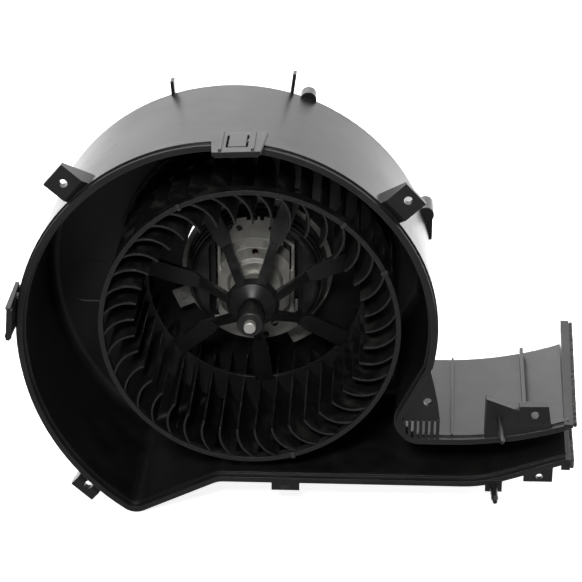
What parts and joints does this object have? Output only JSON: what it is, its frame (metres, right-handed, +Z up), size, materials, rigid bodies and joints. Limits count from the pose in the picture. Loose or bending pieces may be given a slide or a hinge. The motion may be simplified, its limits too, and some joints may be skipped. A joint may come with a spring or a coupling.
{
  "type": "blower motor wheel",
  "caption": "Motor half of a car heater blower: scroll casing with outlet duct, squirrel-cage wheel and a flat-sided motor nested inside the wheel.",
  "frame": {"origin": "on the wheel's axis, in the plane where the two casing halves meet", "axes": "+Y along the wheel's axis into the casing towards the motor, +Z up, +X towards the outlet duct"},
  "size_m": [0.2886, 0.143, 0.2117],
  "materials": {
    "casing_plastic": "satin moulded polypropylene",
    "wheel_plastic": "satin moulded nylon",
    "holder_plastic": "satin moulded plastic",
    "foam": "open-cell foam",
    "rubber": "matt rubber",
    "zinc_steel": "zinc-plated, dull",
    "screw_steel": "zinc-plated",
    "shaft_steel": "ground, bright",
    "spring_steel": "spring steel",
    "lamination": "stamped laminations, varnished",
    "ferrite": "pressed ferrite",
    "copper": "enamelled copper",
    "commutator_copper": "turned copper",
    "brass": "stamped brass",
    "bronze": "sintered bronze",
    "carbon": "pressed carbon",
    "card": "phenolic card",
    "nylon": "natural nylon"
  },
  "bodies": {
    "casing": {"scroll_casing": "casing_plastic", "outlet_seal": "foam", "motor_holder": "holder_plastic", "mount_bracket": "zinc_steel", "isolator_grommets": "rubber", "bracket_screws": "screw_steel", "motor_front_plate": "zinc_steel", "motor_can": "zinc_steel", "upper_magnet": "ferrite", "lower_magnet": "ferrite", "magnet_springs": "spring_steel", "front_bearing": "bronze", "front_bearing_retainer": "spring_steel", "rear_bearing": "bronze", "rear_cap": "holder_plastic", "brush_plate": "card", "brush_boxes": "brass", "upper_brush_spring": "spring_steel", "lower_brush_spring": "spring_steel", "terminals": "brass"},
    "rotor": {"motor_shaft": "shaft_steel", "armature_core": "lamination", "armature_winding": "copper", "commutator": "commutator_copper", "thrust_washers": "nylon", "hub_sleeve": "brass", "wheel_rings": "wheel_plastic", "wheel_blades": "wheel_plastic", "wheel_hub": "wheel_plastic", "wheel_arms": "wheel_plastic", "balance_clips": "spring_steel"},
    "upper_brush": {"upper_brush": "carbon"},
    "lower_brush": {"lower_brush": "carbon"}
  },
  "joints": [
    {"name": "fan_spin", "type": "hinge", "parent": "casing", "child": "rotor", "pos_m": [0, 0, 0], "axis": [0, -1, 0], "continuous": true},
    {"name": "upper_brush_slide", "type": "slide", "parent": "casing", "child": "upper_brush", "axis": [0, 0, 1], "range_m": [0, 0.003], "stiffness_N_per_m": 300, "springref_m": -0.005, "deforming": ["upper_brush_spring"]},
    {"name": "lower_brush_slide", "type": "slide", "parent": "casing", "child": "lower_brush", "axis": [0, 0, -1], "range_m": [0, 0.003], "stiffness_N_per_m": 300, "springref_m": -0.005, "deforming": ["lower_brush_spring"]}
  ]
}
